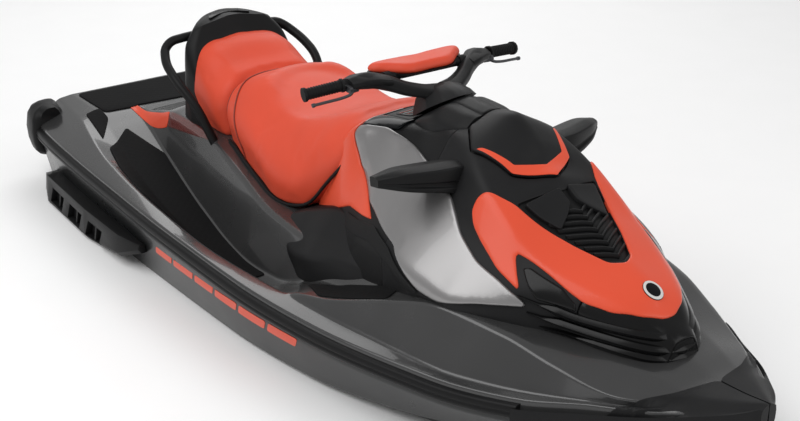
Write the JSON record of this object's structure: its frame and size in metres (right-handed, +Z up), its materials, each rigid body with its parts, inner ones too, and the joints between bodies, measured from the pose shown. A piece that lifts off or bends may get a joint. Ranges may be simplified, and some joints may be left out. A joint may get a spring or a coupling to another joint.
{
  "type": "personal watercraft",
  "caption": "Two-up personal watercraft: decked V hull, straddle seat with grab handle, steered handlebar, opening storage lid, jet pump with steering nozzle and reverse bucket.",
  "frame": {"origin": "mid-length on the centre plane at the still-water line", "axes": "+X to the bow, +Y to port, +Z up"},
  "size_m": [3.3263, 1.2718, 1.078],
  "materials": {
    "dark_gloss": "dark grey gloss",
    "deck_grey": "gloss dark grey metallic",
    "engine_metal": "plain block",
    "gloss_black": "gloss black",
    "grip_rubber": "ribbed grip",
    "hull_black": "gloss black moulded hull",
    "mat_foam": "grooved foam mat",
    "matte_black": "textured black plastic",
    "orange": "gloss coral orange",
    "pump_alloy": "cast alloy",
    "rubber_black": "black rubber",
    "seat_vinyl": "coral orange vinyl",
    "silver": "silver metallic paint",
    "steel": "stainless steel"
  },
  "bodies": {
    "craft": {"badge": "silver", "bow_bumper": "matte_black", "bow_eye": "steel", "console": "matte_black", "corner_caps": "rubber_black", "deck": "deck_grey", "engine": "engine_metal", "footwell_mats": "mat_foam", "front_body": "matte_black", "gauge_housing": "matte_black", "grab_handle": "matte_black", "handle_pad": "matte_black", "hood": "orange", "hood_inserts": "matte_black", "hood_surround": "dark_gloss", "hull": "hull_black", "intake_grate": "pump_alloy", "mirror_housings": "gloss_black", "nose_trim": "gloss_black", "platform_mat": "mat_foam", "pump_housing": "pump_alloy", "ride_plate": "matte_black", "rub_rails": "rubber_black", "seat_front": "seat_vinyl", "seat_rear": "seat_vinyl", "seat_trim": "orange", "side_boxes": "matte_black", "sponsons": "matte_black", "steering_column": "matte_black", "stern_eyes": "steel", "storage_bin": "matte_black", "vent_grille": "matte_black", "venturi": "pump_alloy", "wings": "silver"},
    "handlebar_set": {"handlebar": "matte_black", "grips": "grip_rubber", "levers": "matte_black", "handlebar_pad": "orange"},
    "lid": {"storage_lid": "dark_gloss"},
    "glovebox": {"glovebox_lid": "matte_black"},
    "rotor": {"impeller": "steel", "drive_shaft": "steel"},
    "nozzle": {"steering_nozzle": "pump_alloy"},
    "bucket": {"reverse_bucket": "pump_alloy"}
  },
  "joints": [
    {"name": "steering", "type": "hinge", "parent": "craft", "child": "handlebar_set", "pos_m": [0.352, 0, 0.743], "axis": [-0.5299, 0, 0.848], "range_deg": [-20, 20]},
    {"name": "nozzle_swing", "type": "hinge", "parent": "craft", "child": "nozzle", "pos_m": [-1.5243, 0, -0.065], "axis": [0, 0, 1], "range_deg": [-20, 20]},
    {"name": "bucket_tilt", "type": "hinge", "parent": "nozzle", "child": "bucket", "pos_m": [-1.5793, 0, -0.065], "axis": [0, -1, 0], "range_deg": [0, 78]},
    {"name": "impeller_spin", "type": "hinge", "parent": "craft", "child": "rotor", "pos_m": [-1.06, 0, -0.065], "axis": [1, 0, 0], "continuous": true},
    {"name": "storage_lid_hinge", "type": "hinge", "parent": "craft", "child": "lid", "pos_m": [0.872, 0, 0.69], "axis": [0, 1, 0], "range_deg": [0, 70]},
    {"name": "glovebox_hinge", "type": "hinge", "parent": "craft", "child": "glovebox", "pos_m": [0.326, 0, 0.707], "axis": [0, 1, 0], "range_deg": [0, 40]}
  ],
  "couplings": [
    {"joint": "nozzle_swing", "follows": "steering", "ratio": -1}
  ]
}
